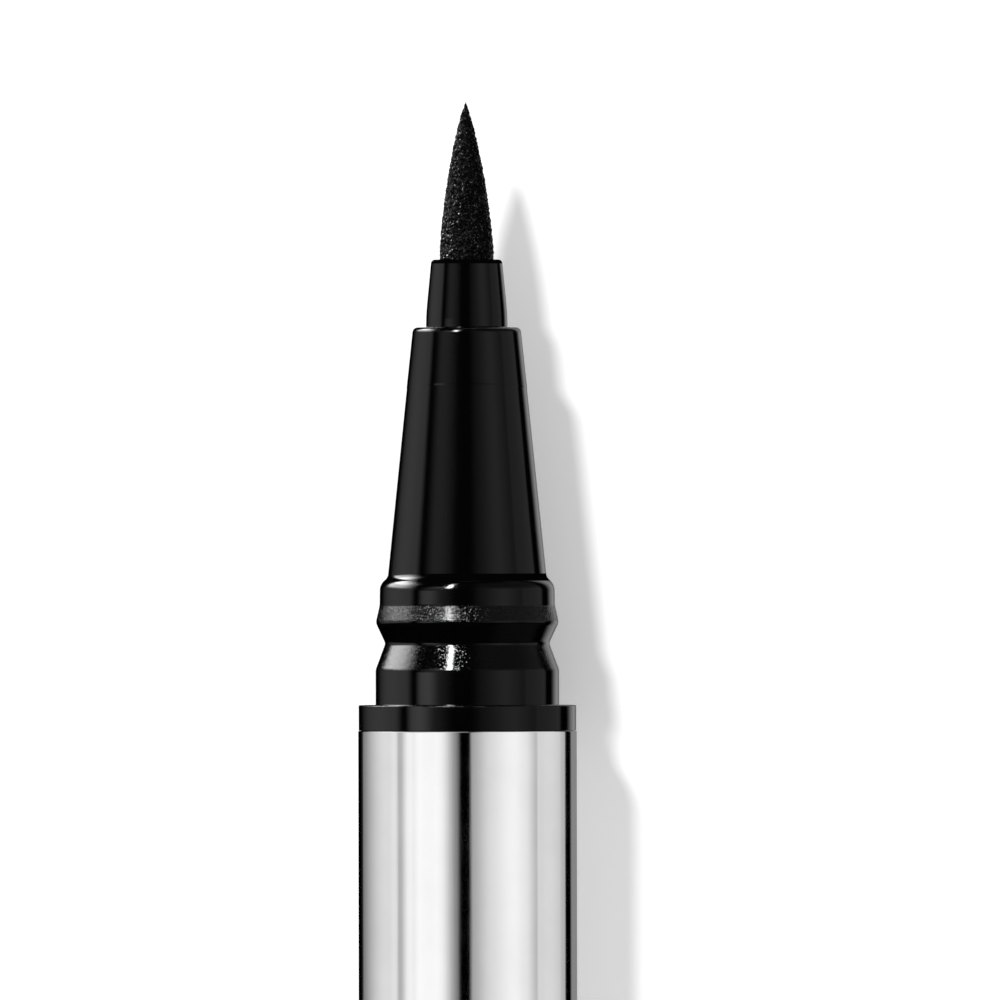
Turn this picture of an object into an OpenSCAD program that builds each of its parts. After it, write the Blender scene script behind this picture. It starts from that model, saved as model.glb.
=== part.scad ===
// Liquid eyeliner pen with a felt nib, a chromed barrel and a pull-off cap, in millimetres.
// The pen lies along +Y with its nib at the far end. The origin is the middle of the tail face.
// The cap is off, and lies in line with the pen ahead of the nib, with its mouth towards it.
// Every piece is drawn standing on the pen's axis, by its distance from the tail, and then laid down.

/* [Barrel] */
// Outside diameter of the chromed barrel sleeve and of the cap
barrel_d = 10.6; // [10.2:0.1:12]
// Length of the chromed barrel sleeve
sleeve_len = 93.815; // [85:0.005:105]
// Wall of the chromed barrel sleeve
sleeve_wall = 0.3; // [0.2:0.05:0.4]
// Chamfer on the cut edges of the sleeve and the cap
edge_break = 0.1; // [0.05:0.01:0.2]
// Thickness of the rim of the tail cap
tail_len = 1.2; // [0.8:0.1:3]
// Rounding of the rear edge of the tail cap
tail_round = 0.3; // [0.1:0.05:0.5]
// Length of the tail cap's hollow spigot inside the sleeve
tail_spigot_len = 6.8; // [5:0.1:9]
// Wall of the tail cap's spigot
tail_wall = 1; // [0.6:0.1:1.4]

/* [Front section] */
// Length of the flange that the sleeve and the closed cap both meet
flange_len = 1.23; // [0.8:0.005:2]
// How far the flange stands in from the outside of the sleeve
flange_step = 0.023; // [0:0.001:0.1]
// Depth of the collar below the outside of the barrel, which is the room for the cap's wall
collar_depth = 0.85; // [0.8:0.01:1]
// Length of the collar
collar_len = 1.72; // [1:0.005:3]
// Rounding of the flange's front edge
flange_round = 0.05; // [0.02:0.01:0.1]
// Rounding of the edge between the collar and its slope
collar_round = 0.6; // [0.1:0.05:0.7]
// Length of the grained slope from the collar to the snap groove
collar_slope_len = 1.21; // [1:0.01:1.6]
// Depth of the snap groove below the snap bead
groove_depth = 0.44; // [0.3:0.01:0.5]
// Length of the bottom of the snap groove
groove_len = 0.13; // [0.12:0.01:0.4]
// Fillet at both sides of the bottom of the snap groove
groove_round = 0.25; // [0.05:0.01:0.25]
// How far the snap bead stands in from the collar
bead_drop = 0.01; // [0:0.01:0.1]
// Length of the slope from the snap groove up to the bead
bead_back_len = 0.94; // [0.7:0.01:1.2]
// Rounding of the crest of the snap bead
bead_round = 0.45; // [0.1:0.05:0.6]
// Length of the grained slope from the bead down to the land
bead_front_len = 0.85; // [0.8:0.01:1.4]
// How far the smooth land ahead of the bead stands in from it
land_drop = 0.19; // [0.1:0.01:0.25]
// Fillet between that slope and the land
land_round = 0.5; // [0.1:0.05:0.6]
// Length of the smooth land
land_len = 0.94; // [0.5:0.01:1.2]
// Draft of the land, which is how far it narrows on its length
land_draft = 0.015; // [0:0.005:0.05]
// Rounding of the edge of the step from the land down to the cone
step_round = 0.75; // [0.1:0.01:0.9]
// Slope of that step, in degrees
step_slope = 47; // [45:1:60]
// Depth of the step from the rear of the land down to the rear of the cone
step_depth = 0.4; // [0.35:0.01:0.5]
// Diameter of the cone at its front, before the shoulder is rounded
cone_front_d = 5.22; // [5.1:0.01:5.5]
// Length of the cone
cone_len = 12.168; // [10:0.002:15]
// Rounding of the shoulder at the cone's front
shoulder_round = 0.42; // [0.1:0.01:0.5]
// Length of the boss behind the flange that centres the front section in the sleeve
boss_len = 4.055; // [3:0.005:6]
// Length of the spigot behind the boss that enters the ink tank
spigot_len = 21; // [17:0.1:26]
// Wall of that spigot
spigot_wall = 0.7; // [0.5:0.05:0.8]
// Wall left between the snap groove and the comb's chamber inside it
section_wall = 0.8; // [0.7:0.05:0.9]

/* [Nozzle and nib] */
// Diameter of the nozzle at its foot
nozzle_d = 3.95; // [3.8:0.01:4.1]
// Length of the nozzle that shows
nozzle_len = 3.27; // [2.5:0.01:4.5]
// Slope of the nozzle's sides, in degrees from the axis
nozzle_slope = 5.5; // [3:0.05:7]
// Radius of the sweep from the nozzle's foot into its slope
nozzle_sweep = 12; // [5:0.1:16]
// Rounding of the nozzle's front edge
nozzle_round = 0.2; // [0.05:0.01:0.25]
// Diameter of the nozzle's stem inside the front section
stem_d = 3.3; // [3.1:0.02:3.4]
// Length of the nozzle's stem
stem_len = 6.5; // [5:0.1:7.5]
// Diameter of the felt nib
nib_d = 2.6; // [2.4:0.01:2.65]
// Length of the felt nib that shows, from the nozzle to its point
nib_len = 7.64; // [6:0.01:9]
// Fullness of the nib's pointed outline: 1 is a straight cone, 2 is a bullet
nib_fullness = 1.5; // [1.3:0.05:2]
// Sharpness of the nib's point: 1 is a sharp point, and less is a blunter one
nib_sharpness = 0.85; // [0.6:0.05:1]

/* [Ink feed] */
// Diameter of the core of the comb that buffers the ink
comb_core_d = 3.8; // [3.4:0.1:4.2]
// Spacing of the comb's fins
fin_pitch = 0.95; // [0.8:0.01:1.2]
// Thickness of each fin
fin_thickness = 0.45; // [0.3:0.01:0.5]
// Width of the air slot along the comb
vent_w = 1; // [0.6:0.05:1.4]
// Width of the ink slit along the comb, opposite the air slot
slit_w = 0.3; // [0.2:0.05:0.4]
// Thickness of the comb's rear flange
comb_flange_len = 0.8; // [0.5:0.05:1.2]
// Diameter of the comb's neck inside the cone
neck_d = 4.24; // [4:0.02:4.3]
// Wall left between the comb's chamber and the start of the cone
chamber_end_wall = 2; // [1.6:0.1:3]
// Depth of the socket in the comb's neck that holds the rear of the nib
nib_socket = 1.6; // [1:0.1:2.4]
// Diameter of the fibre wick
wick_d = 2; // [1.7:0.05:2.2]
// How far the wick reaches out of the comb into the tank
wick_reach = 3; // [1:0.1:5]

/* [Ink tank] */
// Cord diameter of the rubber ring that seals the tank
ring_cord = 0.5; // [0.4:0.02:0.55]
// Thickness of the tank plug's flange
plug_flange_len = 1; // [0.7:0.1:1.5]
// Length of the tank plug inside the tank
plug_len = 6; // [4:0.1:8]
// Wall of the tank plug
plug_wall = 0.9; // [0.6:0.1:1.2]
// Height of the sealing ribs round the tank plug
rib_h = 0.15; // [0.1:0.01:0.25]
// Diameter of the steel mixing ball
ball_d = 3; // [2:0.1:3.5]
// Where the ball lies, as a share of the tank's free length
ball_place_share = 0.45; // [0.2:0.05:0.8]

/* [Cap] */
// Distance from the nib's point to the mouth of the cap that lies ahead of it
cap_lay_off = 16; // [8:1:40]
// Wall of the chromed cap shell
shell_wall = 0.3; // [0.2:0.05:0.4]
// Rounding of the closed end of the cap shell
shell_round = 0.8; // [0.4:0.05:1.2]
// Height of the liner's snap ring
snap_h = 0.06; // [0.04:0.01:0.1]
// Length of the liner's snap ring along the cap
snap_len = 0.7; // [0.5:0.05:0.9]
// Chamfer that leads the front section into the liner's mouth
mouth_lead = 0.15; // [0.05:0.01:0.25]
// Wall of the liner's neck, and of the step that leads to it
liner_wall = 0.6; // [0.5:0.05:0.8]
// Thickness of the ribs that centre the liner's neck in the shell
liner_rib_t = 0.6; // [0.4:0.05:0.8]
// Number of those ribs
liner_ribs = 6; // [3:1:8]
// Wall of the sliding seal cup
cup_wall = 0.6; // [0.5:0.05:0.7]
// Wall at the closed end of the seal cup
cup_end_wall = 0.8; // [0.6:0.05:1.2]
// How far the seal cup's rim stands out of the liner's neck
cup_proud = 0.4; // [0.2:0.05:0.8]
// Length of the seal cup's stop flange
cup_flange_len = 1.5; // [1:0.1:2]
// Height of the seal cup's stop flange
cup_flange_h = 0.2; // [0.15:0.01:0.3]
// Room left round the nib inside the seal cup
nib_room = 0.35; // [0.25:0.01:0.45]
// Room left ahead of the nib's point inside the seal cup
point_room = 0.8; // [0.5:0.05:1.5]
// Length of the cap spring between the seal cup and the end of the shell
spring_len = 6; // [5.6:0.1:9]
// Mean diameter of the cap spring's coil
spring_d = 4.5; // [4.3:0.05:4.7]
// Wire of the cap spring
spring_wire = 0.36; // [0.3:0.01:0.4]
// Number of the spring's curls
spring_turns = 5; // [3:1:5]

/* [Fits] */
// Radial clearance of pieces that are pushed together
close_fit = 0.02; // [0.01:0.005:0.03]
// Clearance between flat faces that meet
face_gap = 0.02; // [0.01:0.005:0.05]
// Radial clearance of pieces that slip past each other when the pen is put together
slip_fit = 0.05; // [0.03:0.01:0.08]
// Radial clearance of pieces that slide in use
slide_fit = 0.08; // [0.05:0.01:0.12]
// Clearance between the liner's snap ring and the front section's collar
snap_fit = 0.03; // [0.02:0.005:0.05]
// Clearance between the flange and the mouth of the closed cap
cap_seat = 0.05; // [0.02:0.01:0.1]
// Clearance between the cone's shoulder and the rim of the seal cup in the closed cap
cup_seat = 0.1; // [0.05:0.01:0.15]

/* [Hidden] */
$fn = 96;

// Overrun of every cut past the face that it starts from
cut_over = 0.5;

// Steps of each drawn arc, and of the nib's outline
arc_steps = 8;
nib_steps = 28;

// Rings of each curl of the spring, and sides of its wire
curl_rings = 8;
wire_sides = 6;

// Radii of the barrel and of the front section's outside
barrel_r = barrel_d / 2;
sleeve_ir = barrel_r - sleeve_wall;
flange_r = barrel_r - flange_step;
collar_r = barrel_r - collar_depth;
bead_r = collar_r - bead_drop;
groove_r = bead_r - groove_depth;
land_r = bead_r - land_drop;
land_front_r = land_r - land_draft;
cone_rear_r = land_r - step_depth;
cone_front_r = cone_front_d / 2;
cone_slope = atan((cone_rear_r - cone_front_r) / cone_len);

// Radii of what lies inside the front section and the sleeve
chamber_r = groove_r - section_wall;
comb_r = chamber_r - slip_fit;
spigot_r = chamber_r + spigot_wall;
tank_ir = spigot_r + close_fit;
tank_or = sleeve_ir - slip_fit;

// The step from the land to the cone: its fillet takes most of what its round edge leaves
land_slope = atan(land_draft / land_len);
step_drop = land_front_r - cone_rear_r;
step_len = step_drop / tan(step_slope);
step_fillet_share = 0.96;
step_left = step_drop / sin(step_slope) - step_round * tan((step_slope - land_slope) / 2);
step_fillet = step_fillet_share * step_left / tan((step_slope - cone_slope) / 2);

// Radii of the nozzle, nib, wick and comb
nozzle_r = nozzle_d / 2;
stem_r = stem_d / 2;
nib_r = nib_d / 2;
wick_r = wick_d / 2;
neck_r = neck_d / 2;
core_r = comb_core_d / 2;

// Places along the pen, from the tail face
z_sleeve = tail_len + face_gap;
z_flange = z_sleeve + sleeve_len + face_gap;
z_collar = z_flange + flange_len;
z_slope = z_collar + collar_len;
z_groove = z_slope + collar_slope_len;
z_bead_back = z_groove + groove_len;
z_bead = z_bead_back + bead_back_len;
z_land = z_bead + bead_front_len;
z_step = z_land + land_len;
z_cone = z_step + step_len;
z_shoulder = z_cone + cone_len;
z_nozzle = z_shoulder + face_gap;
z_nozzle_end = z_nozzle + nozzle_len;
z_point = z_nozzle_end + nib_len;

// Places inside the pen, from the tail face
z_boss = z_flange - boss_len;
z_spigot = z_boss - spigot_len;
z_chamber_end = z_cone - chamber_end_wall;
z_stem = z_nozzle - stem_len;
z_neck_end = z_stem - face_gap;
z_nib_rear = z_neck_end - nib_socket;
z_comb = z_spigot - face_gap - comb_flange_len;
z_wick = z_comb - wick_reach;
z_plug = tail_len + tail_spigot_len + face_gap;
z_tank = z_plug + plug_flange_len + face_gap;
z_tank_mouth = z_boss - face_gap;
z_plug_end = z_tank + plug_len;

// The mixing ball lies on the tank's wall, between the plug and the wick
ball_r = ball_d / 2;
ball_run = z_wick - z_plug_end - ball_d - 2 * slide_fit;
z_ball = z_plug_end + ball_r + slide_fit + ball_run * ball_place_share;
ball_drop = tank_ir - ball_r - slide_fit;

// Radii of the cap, whose snap ring passes over the collar
shell_ir = barrel_r - shell_wall;
liner_or = shell_ir - close_fit;
snap_r = collar_r + snap_fit;
mouth_r = snap_r + snap_h;
cup_ir = nozzle_r + 2 * slide_fit;
cup_or = cup_ir + cup_wall;
cup_nib_r = nib_r + nib_room;
guide_r = cup_or + slide_fit;
cup_flange_r = cup_or + cup_flange_h;
liner_neck_ir = cup_flange_r + slide_fit;
liner_neck_or = liner_neck_ir + liner_wall;
rib_reach = sqrt(pow(liner_or - slip_fit, 2) - pow(liner_rib_t / 2, 2));

// Places along the cap, from its mouth, found from where they come on the closed pen
z_mouth_closed = z_collar + cap_seat;
z_mouth = z_point + cap_lay_off;
d_snap = z_groove + groove_len / 2 - z_mouth_closed;
d_cup = z_shoulder + cup_seat - z_mouth_closed;
d_guide = d_cup + cup_proud;
d_step = d_guide + liner_wall;
cup_nozzle_depth = nozzle_len + face_gap + slide_fit;
cup_depth = z_point + point_room - z_shoulder - cup_seat;
cup_len = cup_depth + cup_end_wall;
d_cup_end = d_cup + cup_len;
d_lip_end = d_cup_end - cup_flange_len - face_gap;
d_inner_end = d_cup_end + 2 * face_gap + spring_len;
d_liner_end = d_inner_end - face_gap;
cap_len = d_inner_end + shell_wall;

// Points of an arc about a centre, from one angle to another
function arc(centre, r, from, to) = [
    for (i = [0 : arc_steps])
        let (a = from + (to - from) * i / arc_steps)
            [centre[0] + r * cos(a), centre[1] + r * sin(a)]
];

// An arc that rounds the corner between two straight edges of an outline
function corner_arc(before, at, after, radius) =
    let (
        back = (before - at) / norm(before - at),
        on = (after - at) / norm(after - at),
        half = acos(back * on) / 2,
        centre = at + (back + on) / norm(back + on) * radius / sin(half),
        start = at + back * radius / tan(half) - centre,
        end = at + on * radius / tan(half) - centre,
        from = atan2(start[1], start[0]),
        turn = sign(cross(start, end)) * (180 - 2 * half)
    )
        arc(centre, radius, from, from + turn);

// An outline whose corners are given as [radius from the axis, place, rounding]
function place_of(corner) = [corner[0], corner[1]];
function rounded(corners) = [
    for (i = [0 : len(corners) - 1])
        each corners[i][2] == 0
            ? [place_of(corners[i])]
            : corner_arc(
                place_of(corners[i - 1]), place_of(corners[i]),
                place_of(corners[i + 1]), corners[i][2]
            )
];

// Outline of the front section's outside, from the flange's rear edge to the shoulder
function front_outline() = rounded([
    [flange_r, z_flange, 0],
    [flange_r, z_collar, flange_round],
    [collar_r, z_collar, 0],
    [collar_r, z_slope, collar_round],
    [groove_r, z_groove, groove_round],
    [groove_r, z_bead_back, groove_round],
    [bead_r, z_bead, bead_round],
    [land_r, z_land, land_round],
    [land_front_r, z_step, step_round],
    [cone_rear_r, z_cone, step_fillet],
    [cone_front_r, z_shoulder, shoulder_round],
    [stem_r + close_fit, z_shoulder, 0]
]);

// Outline of the nozzle's outside: a swept foot, a straight slope and a round front edge
// A share of the sweep's radius is held back, so that its arc starts clear of the nozzle's foot
sweep_ease_share = 0.05;
sweep_half_len = nozzle_sweep * tan(nozzle_slope / 2);
nozzle_end_r = nozzle_r - (nozzle_len - sweep_half_len) * tan(nozzle_slope);
function nozzle_outline() = rounded([
    [nozzle_r, z_nozzle, 0],
    [nozzle_r, z_nozzle + sweep_half_len, nozzle_sweep * (1 - sweep_ease_share)],
    [nozzle_end_r, z_nozzle_end, nozzle_round],
    [nib_r + close_fit, z_nozzle_end, 0]
]);

// Outline of the pointed nib, from its shoulder in the nozzle to the point
function nib_outline() = [
    for (i = [0 : nib_steps])
        let (u = i / nib_steps)
            [nib_r * pow(1 - pow(u, nib_fullness), nib_sharpness), z_nozzle_end + nib_len * u]
];

// Fins of the ink comb, from behind the chamber's end back to the flange
comb_front_z = z_chamber_end - face_gap;
comb_rear_z = z_spigot - face_gap;
fin_count = floor((comb_front_z - comb_rear_z - fin_pitch) / fin_pitch);
fin_zone_len = (fin_count - 1) * fin_pitch + fin_thickness;
fin_start_z = (comb_front_z + comb_rear_z - fin_zone_len) / 2;
function comb_fins() = [
    for (i = [0 : fin_count - 1])
        let (z = fin_start_z + i * fin_pitch)
            each [[core_r, z], [comb_r, z], [comb_r, z + fin_thickness], [core_r, z + fin_thickness]]
];

// The spring's centre line, and the ring of wire round each of its points
spring_r = spring_d / 2;
wire_r = spring_wire / 2;
spring_rings = spring_turns * curl_rings;
spring_low = d_cup_end + face_gap + wire_r;
spring_rise = spring_len - spring_wire;
spring_lead = atan(spring_rise / (spring_turns * PI * spring_d));
function spring_angle(i) = 360 * i / curl_rings;
function spring_point(i) = [
    spring_r * cos(spring_angle(i)),
    spring_r * sin(spring_angle(i)),
    spring_low + spring_rise * i / spring_rings
];
function spring_ring(i) = [
    for (k = [0 : wire_sides - 1])
        let (
            a = spring_angle(i),
            out = wire_r * cos(360 * k / wire_sides),
            up = wire_r * sin(360 * k / wire_sides)
        )
            spring_point(i) + [
                out * cos(a) + up * sin(spring_lead) * sin(a),
                out * sin(a) - up * sin(spring_lead) * cos(a),
                up * cos(spring_lead)
            ]
];

// Least gap between one curl of the spring and the next, measured on the points of its centre line
spring_gap = min([
    for (i = [0 : spring_rings])
        for (j = [i + curl_rings - 1 : 1 : spring_rings])
            norm(spring_point(i) - spring_point(j)) - spring_wire
]);
echo("least gap between the spring's curls, mm:", spring_gap);

// Lays a piece that stands on the pen's axis down along +Y
module lay_down() {
    rotate([-90, 0, 0]) children();
}

// Places a piece of the cap, drawn from the cap's mouth, where the open cap lies
module in_cap() {
    lay_down() translate([0, 0, z_mouth]) children();
}

module tail_cap() {
    spigot_or = sleeve_ir - close_fit;
    spigot_end = tail_len + tail_spigot_len;
    color([0.10, 0.10, 0.11])
        lay_down()
            rotate_extrude()
                polygon(concat(
                    [[0, 0]],
                    arc([flange_r - tail_round, tail_round], tail_round, -90, 0),
                    [
                        [flange_r, tail_len],
                        [spigot_or, tail_len],
                        [spigot_or, spigot_end - edge_break],
                        [spigot_or - edge_break, spigot_end],
                        [spigot_or - tail_wall, spigot_end],
                        [spigot_or - tail_wall, tail_len],
                        [0, tail_len]
                    ]
                ));
}

module barrel_sleeve() {
    rear = z_sleeve;
    front = z_sleeve + sleeve_len;
    color([0.80, 0.80, 0.82])
        lay_down()
            rotate_extrude()
                polygon([
                    [sleeve_ir, rear],
                    [barrel_r - edge_break, rear],
                    [barrel_r, rear + edge_break],
                    [barrel_r, front - edge_break],
                    [barrel_r - edge_break, front],
                    [sleeve_ir, front]
                ]);
}

module tank_plug() {
    stem_or = tank_ir - close_fit - rib_h;
    rib_places = [for (s = [1, 2]) z_tank + plug_len * s / 3];
    color([0.86, 0.86, 0.82])
        lay_down()
            rotate_extrude() {
                polygon([
                    [stem_or - plug_wall, z_plug],
                    [tank_or, z_plug],
                    [tank_or, z_plug + plug_flange_len],
                    [stem_or, z_plug + plug_flange_len],
                    [stem_or, z_plug_end],
                    [0, z_plug_end],
                    [0, z_plug_end - plug_wall],
                    [stem_or - plug_wall, z_plug_end - plug_wall]
                ]);
                for (z = rib_places)
                    polygon([
                        [stem_or - rib_h, z - 2 * rib_h],
                        [stem_or, z - 2 * rib_h],
                        [stem_or + rib_h, z - rib_h],
                        [stem_or + rib_h, z + rib_h],
                        [stem_or, z + 2 * rib_h],
                        [stem_or - rib_h, z + 2 * rib_h]
                    ]);
            }
}

module ink_tank() {
    seat_r = spigot_r + ring_cord + 2 * close_fit;
    seat_z = z_tank_mouth - ring_cord - 2 * close_fit;
    color([0.92, 0.92, 0.90, 0.6])
        lay_down()
            rotate_extrude()
                polygon([
                    [tank_ir, z_tank],
                    [tank_or, z_tank],
                    [tank_or, z_tank_mouth],
                    [seat_r, z_tank_mouth],
                    [seat_r, seat_z],
                    [tank_ir, seat_z]
                ]);
}

module mixing_ball() {
    color([0.60, 0.60, 0.63])
        translate([0, z_ball, -ball_drop])
            sphere(r = ball_r);
}

module seal_ring() {
    ring_r = spigot_r + close_fit + ring_cord / 2;
    ring_z = z_tank_mouth - close_fit - ring_cord / 2;
    color([0.15, 0.15, 0.15])
        lay_down()
            rotate_extrude()
                translate([ring_r, ring_z])
                    circle(d = ring_cord);
}

module ink_comb() {
    bore_r = wick_r + close_fit;
    socket_r = nib_r + close_fit;
    comb_len = z_neck_end - face_gap - z_comb;
    color([0.75, 0.77, 0.80])
        lay_down()
            difference() {
                rotate_extrude()
                    polygon(concat(
                        [
                            [bore_r, z_comb],
                            [spigot_r, z_comb],
                            [spigot_r, z_comb + comb_flange_len],
                            [core_r, z_comb + comb_flange_len]
                        ],
                        comb_fins(),
                        [
                            [core_r, comb_front_z],
                            [neck_r, comb_front_z],
                            [neck_r, z_comb + comb_len],
                            [socket_r, z_comb + comb_len],
                            [socket_r, z_nib_rear],
                            [bore_r, z_nib_rear]
                        ]
                    ));
                translate([-vent_w / 2, -core_r - comb_r, fin_start_z - cut_over])
                    cube([vent_w, comb_r, fin_zone_len + 2 * cut_over]);
                translate([-slit_w / 2, core_r, fin_start_z - cut_over])
                    cube([slit_w, comb_r, fin_zone_len + 2 * cut_over]);
            }
}

module relay_wick() {
    color([0.93, 0.91, 0.86])
        lay_down()
            translate([0, 0, z_wick])
                cylinder(r = wick_r, h = z_nib_rear - face_gap - z_wick);
}

module front_section() {
    boss_r = sleeve_ir - close_fit;
    neck_bore_r = neck_r + close_fit;
    color([0.06, 0.06, 0.07])
        lay_down()
            rotate_extrude()
                polygon(concat(
                    [
                        [chamber_r, z_spigot],
                        [spigot_r, z_spigot],
                        [spigot_r, z_boss],
                        [boss_r, z_boss],
                        [boss_r, z_flange]
                    ],
                    front_outline(),
                    [
                        [stem_r + close_fit, z_neck_end],
                        [neck_bore_r, z_neck_end],
                        [neck_bore_r, z_chamber_end],
                        [chamber_r, z_chamber_end]
                    ]
                ));
}

module tip_holder() {
    color([0.05, 0.05, 0.06])
        lay_down()
            rotate_extrude()
                polygon(concat(
                    [
                        [nib_r + close_fit, z_stem],
                        [stem_r - edge_break, z_stem],
                        [stem_r, z_stem + edge_break],
                        [stem_r, z_nozzle]
                    ],
                    nozzle_outline()
                ));
}

module felt_tip() {
    color([0.13, 0.13, 0.13])
        lay_down()
            rotate_extrude()
                polygon(concat(
                    [[0, z_nib_rear], [nib_r, z_nib_rear]],
                    nib_outline()
                ));
}

module cap_shell() {
    inner_round = shell_round - shell_wall;
    color([0.80, 0.80, 0.82])
        in_cap()
            rotate_extrude()
                polygon(concat(
                    [
                        [shell_ir, 0],
                        [barrel_r - edge_break, 0],
                        [barrel_r, edge_break]
                    ],
                    arc([barrel_r - shell_round, cap_len - shell_round], shell_round, 0, 90),
                    [[0, cap_len], [0, cap_len - shell_wall]],
                    arc([shell_ir - inner_round, d_inner_end - inner_round], inner_round, 90, 0)
                ));
}

module cap_liner() {
    rib_end = d_liner_end - shell_round;
    color([0.90, 0.90, 0.88])
        in_cap()
            union() {
                rotate_extrude()
                    polygon([
                        [mouth_r + mouth_lead, face_gap],
                        [liner_or, face_gap],
                        [liner_or, d_step],
                        [liner_neck_or, d_step],
                        [liner_neck_or, d_liner_end],
                        [liner_neck_ir, d_liner_end],
                        [liner_neck_ir, d_lip_end],
                        [guide_r, d_lip_end],
                        [guide_r, d_guide],
                        [mouth_r, d_guide],
                        [mouth_r, d_snap + snap_len / 2],
                        [snap_r, d_snap + snap_len / 2 - snap_h],
                        [snap_r, d_snap - snap_len / 2 + snap_h],
                        [mouth_r, d_snap - snap_len / 2],
                        [mouth_r, face_gap + mouth_lead]
                    ]);
                for (i = [0 : liner_ribs - 1])
                    rotate([0, 0, 360 * i / liner_ribs])
                        translate([liner_neck_ir + liner_wall / 2, -liner_rib_t / 2, d_guide + liner_wall / 2])
                            cube([
                                rib_reach - liner_neck_ir - liner_wall / 2,
                                liner_rib_t,
                                rib_end - d_guide - liner_wall / 2
                            ]);
            }
}

module seal_cup() {
    boss_or = spring_r - wire_r - slide_fit;
    boss_h = spring_wire * 2;
    rim_break = cup_wall / 4;
    nozzle_end = d_cup + cup_nozzle_depth;
    color([0.55, 0.57, 0.60])
        in_cap()
            rotate_extrude()
                polygon([
                    [cup_ir, d_cup],
                    [cup_or - rim_break, d_cup],
                    [cup_or, d_cup + rim_break],
                    [cup_or, d_cup_end - cup_flange_len],
                    [cup_flange_r, d_cup_end - cup_flange_len],
                    [cup_flange_r, d_cup_end],
                    [boss_or, d_cup_end],
                    [boss_or - rim_break, d_cup_end + boss_h],
                    [0, d_cup_end + boss_h],
                    [0, d_cup + cup_depth],
                    [cup_nib_r, d_cup + cup_depth],
                    [cup_nib_r, nozzle_end + cup_ir - cup_nib_r],
                    [cup_ir, nozzle_end]
                ]);
}

module cap_spring() {
    last = spring_rings * wire_sides;
    points = [for (i = [0 : spring_rings]) each spring_ring(i)];
    sides = [
        for (i = [0 : spring_rings - 1])
            for (k = [0 : wire_sides - 1])
                let (
                    a = i * wire_sides + k,
                    b = i * wire_sides + (k + 1) % wire_sides
                )
                    each [[a, a + wire_sides, b], [b, a + wire_sides, b + wire_sides]]
    ];
    start = [for (k = [1 : wire_sides - 2]) [0, k, k + 1]];
    end = [for (k = [1 : wire_sides - 2]) [last, last + k + 1, last + k]];
    color([0.70, 0.70, 0.72])
        in_cap()
            polyhedron(points = points, faces = concat(start, sides, end));
}

tail_cap();
barrel_sleeve();
tank_plug();
ink_tank();
mixing_ball();
seal_ring();
ink_comb();
relay_wick();
front_section();
tip_holder();
felt_tip();
cap_shell();
cap_liner();
seal_cup();
cap_spring();
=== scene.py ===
"""Looks of the liquid eyeliner pen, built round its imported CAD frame.

The outer pieces are made again here, with fine arcs and smooth surfaces. The hidden ones keep
their CAD meshes. Sizes are in millimetres, and MM turns them into Blender's metres.
"""

import math
import random

import bmesh
import bpy
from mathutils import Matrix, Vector, noise


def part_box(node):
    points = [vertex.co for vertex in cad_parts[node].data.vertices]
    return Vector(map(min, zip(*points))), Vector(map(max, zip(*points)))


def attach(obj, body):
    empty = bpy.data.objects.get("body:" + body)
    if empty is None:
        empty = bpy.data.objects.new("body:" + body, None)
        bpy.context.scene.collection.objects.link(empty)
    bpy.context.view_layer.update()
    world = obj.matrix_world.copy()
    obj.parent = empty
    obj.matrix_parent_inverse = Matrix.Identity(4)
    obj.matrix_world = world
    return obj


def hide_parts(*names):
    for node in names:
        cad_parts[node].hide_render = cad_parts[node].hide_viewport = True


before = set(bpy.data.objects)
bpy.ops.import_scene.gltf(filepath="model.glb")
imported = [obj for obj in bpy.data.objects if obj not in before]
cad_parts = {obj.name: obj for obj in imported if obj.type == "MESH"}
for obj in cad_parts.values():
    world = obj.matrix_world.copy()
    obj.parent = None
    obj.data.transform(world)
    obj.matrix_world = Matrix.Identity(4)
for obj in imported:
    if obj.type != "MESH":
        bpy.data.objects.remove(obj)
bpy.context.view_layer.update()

MM = 0.001
SEED = 7


# Places taken from the frame

def low(node):
    """Lowest corner of a CAD node, in millimetres."""
    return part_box(node)[0] / MM


def high(node):
    """Highest corner of a CAD node, in millimetres."""
    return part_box(node)[1] / MM


FACE_GAP = 0.02
CLOSE_FIT = 0.02
BARREL_R = high("barrel_sleeve").x
FLOOR_Z = -BARREL_R
TAIL_Y = low("tail_cap").y
SLEEVE_Y = low("barrel_sleeve").y
SLEEVE_END_Y = high("barrel_sleeve").y
FLANGE_Y = SLEEVE_END_Y + FACE_GAP
SPIGOT_Y = low("front_section").y
SHOULDER_Y = high("front_section").y
STEM_Y = low("tip_holder").y
NOZZLE_END_Y = high("tip_holder").y
NIB_REAR_Y = low("felt_tip").y
POINT_Y = high("felt_tip").y
MOUTH_Y = low("cap_shell").y
CAP_END_Y = high("cap_shell").y


# Sizes of the pieces, as in the part's source

SLEEVE_WALL = 0.3
EDGE_BREAK = 0.1
TAIL_ROUND = 0.3
TAIL_LEN = 1.2
TAIL_SPIGOT_LEN = 6.8
TAIL_WALL = 1.0
FLANGE_LEN = 1.23
FLANGE_STEP = 0.023
COLLAR_DEPTH = 0.85
COLLAR_LEN = 1.72
COLLAR_SLOPE_LEN = 1.21
GROOVE_DEPTH = 0.44
GROOVE_LEN = 0.13
BEAD_DROP = 0.01
BEAD_BACK_LEN = 0.94
BEAD_FRONT_LEN = 0.85
LAND_DROP = 0.19
LAND_DRAFT = 0.015
STEP_DEPTH = 0.4
CONE_FRONT_R = 2.61
NOZZLE_R = 1.975
NOZZLE_SLOPE = math.radians(5.5)
NOZZLE_SWEEP = 12.0
STEM_R = 1.65
STEM_LEN = 6.5
NECK_BORE_R = 2.14
BOSS_LEN = 4.055
CHAMBER_END_WALL = 2.0
CHAMBER_WALL = 0.8
SPIGOT_WALL = 0.7
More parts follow.
